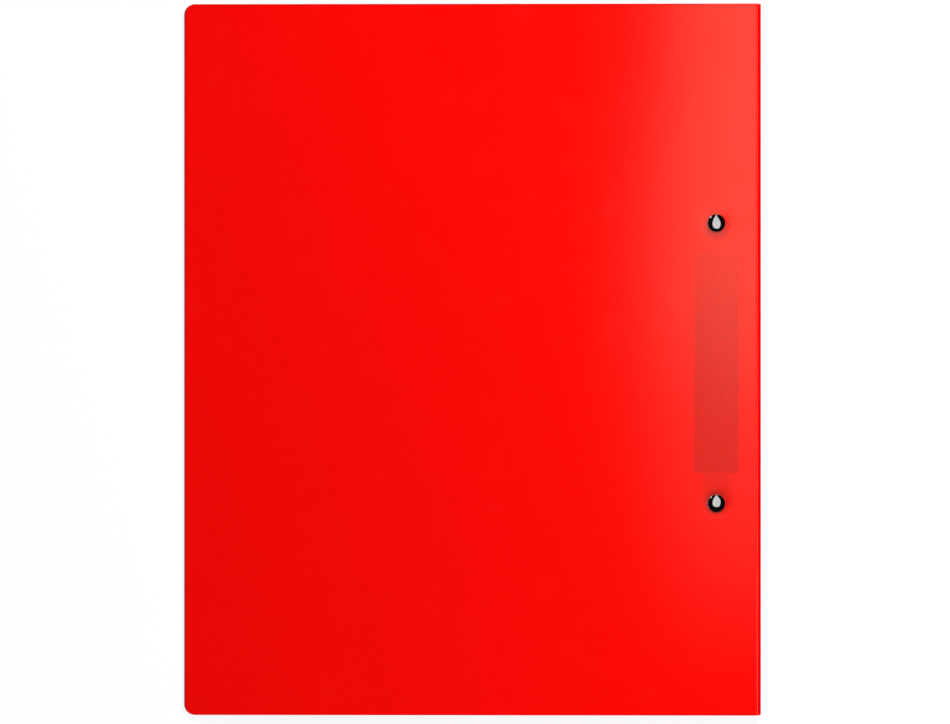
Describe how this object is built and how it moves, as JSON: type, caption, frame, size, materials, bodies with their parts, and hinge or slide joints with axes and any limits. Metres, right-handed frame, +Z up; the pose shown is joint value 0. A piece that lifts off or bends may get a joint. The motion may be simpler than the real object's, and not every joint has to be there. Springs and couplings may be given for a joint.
{
  "type": "ring binder",
  "caption": "Ring binder with a creased plastic cover that folds open along its spine and a sprung ring mechanism, riveted inside the back cover, whose rings part in the middle.",
  "frame": {"origin": "middle of the closed binder's outline on the surface it lies on, under its front cover", "axes": "+X from the fore edge to the spine, +Y from the foot of the covers to their head, +Z up, out through the back cover"},
  "size_m": [0.2596, 0.32, 0.0314],
  "materials": {
    "red_sheet": "satin",
    "red_crease": "satin",
    "nickel_plate": "satin",
    "blade_steel": "satin",
    "ring_wire": "polished",
    "rivet_metal": "polished"
  },
  "bodies": {
    "front": {"front_cover": "red_sheet"},
    "spine": {"spine_panel": "red_sheet", "front_crease_web": "red_crease", "back_crease_web": "red_crease"},
    "back": {"back_cover": "red_sheet", "cover_plate": "nickel_plate", "rivet_top": "rivet_metal", "rivet_bottom": "rivet_metal"},
    "rings_fore": {"blade_fore": "blade_steel", "ring_top_fore": "ring_wire", "ring_bottom_fore": "ring_wire"},
    "rings_spine": {"blade_spine": "blade_steel", "ring_top_spine": "ring_wire", "ring_bottom_spine": "ring_wire"}
  },
  "joints": [
    {"name": "front_crease", "type": "hinge", "parent": "front", "child": "spine", "pos_m": [0.1295, 0, 0.00035], "axis": [0, 1, 0], "range_deg": [0, 89], "deforming": ["front_crease_web"]},
    {"name": "back_crease", "type": "hinge", "parent": "spine", "child": "back", "pos_m": [0.12774, 0, 0.03101], "axis": [0, 1, 0], "range_deg": [0, 98], "deforming": ["back_crease_web"]},
    {"name": "rings_open", "type": "hinge", "parent": "back", "child": "rings_fore", "pos_m": [0.10143, -0.0017, 0.02616], "axis": [0, 1, 0], "range_deg": [0, 15]},
    {"name": "rings_follow", "type": "hinge", "parent": "back", "child": "rings_spine", "pos_m": [0.11832, -0.0017, 0.02811], "axis": [0, 1, 0], "range_deg": [-15, 0]}
  ],
  "couplings": [
    {"joint": "rings_follow", "follows": "rings_open", "ratio": -1}
  ]
}
